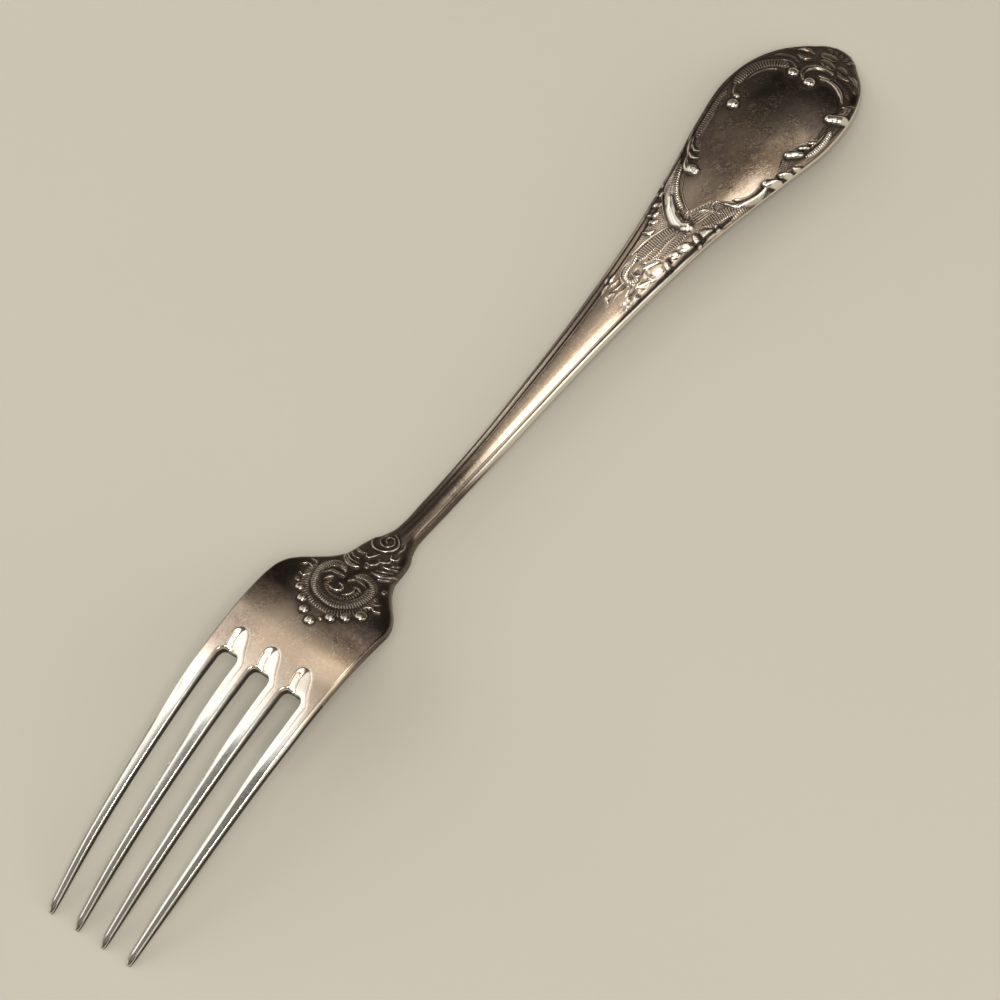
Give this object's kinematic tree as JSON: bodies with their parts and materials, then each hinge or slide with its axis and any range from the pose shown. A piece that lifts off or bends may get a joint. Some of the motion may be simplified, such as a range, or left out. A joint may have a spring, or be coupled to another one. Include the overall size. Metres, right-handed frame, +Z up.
{
  "type": "dinner fork",
  "caption": "Table fork with slender tapering tines, a slotted root, a scrolled heel, a threaded stem and a spatulate handle with rococo scroll border, lying back up.",
  "frame": {"origin": "bottom centre of the bounding box: on the table plane, midway between tine tips and handle end, on the centre line", "axes": "+X along the fork from the tine tips to the handle end, +Y across it, +Z up out of the back; the fork lies back up on its four tine tips and the handle end"},
  "size_m": [0.205, 0.024, 0.018],
  "materials": {
    "worn_silver": "old silver plate, polished by use, with fine scratches along the tines",
    "stem_silver": "old silver plate, bright on the panel and dark in the grooves beside the threads",
    "patinated_silver": "old silver plate with brown-black tarnish in the recesses and rubbed highlights on the scrolls"
  },
  "bodies": {
    "root": {"tine_1": "worn_silver", "tine_2": "worn_silver", "tine_3": "worn_silver", "tine_4": "worn_silver", "root_plate": "worn_silver", "heel": "patinated_silver", "neck": "patinated_silver", "stem": "stem_silver", "handle_throat": "patinated_silver", "handle_shield": "patinated_silver", "handle_tip": "patinated_silver"}
  },
  "joints": []
}
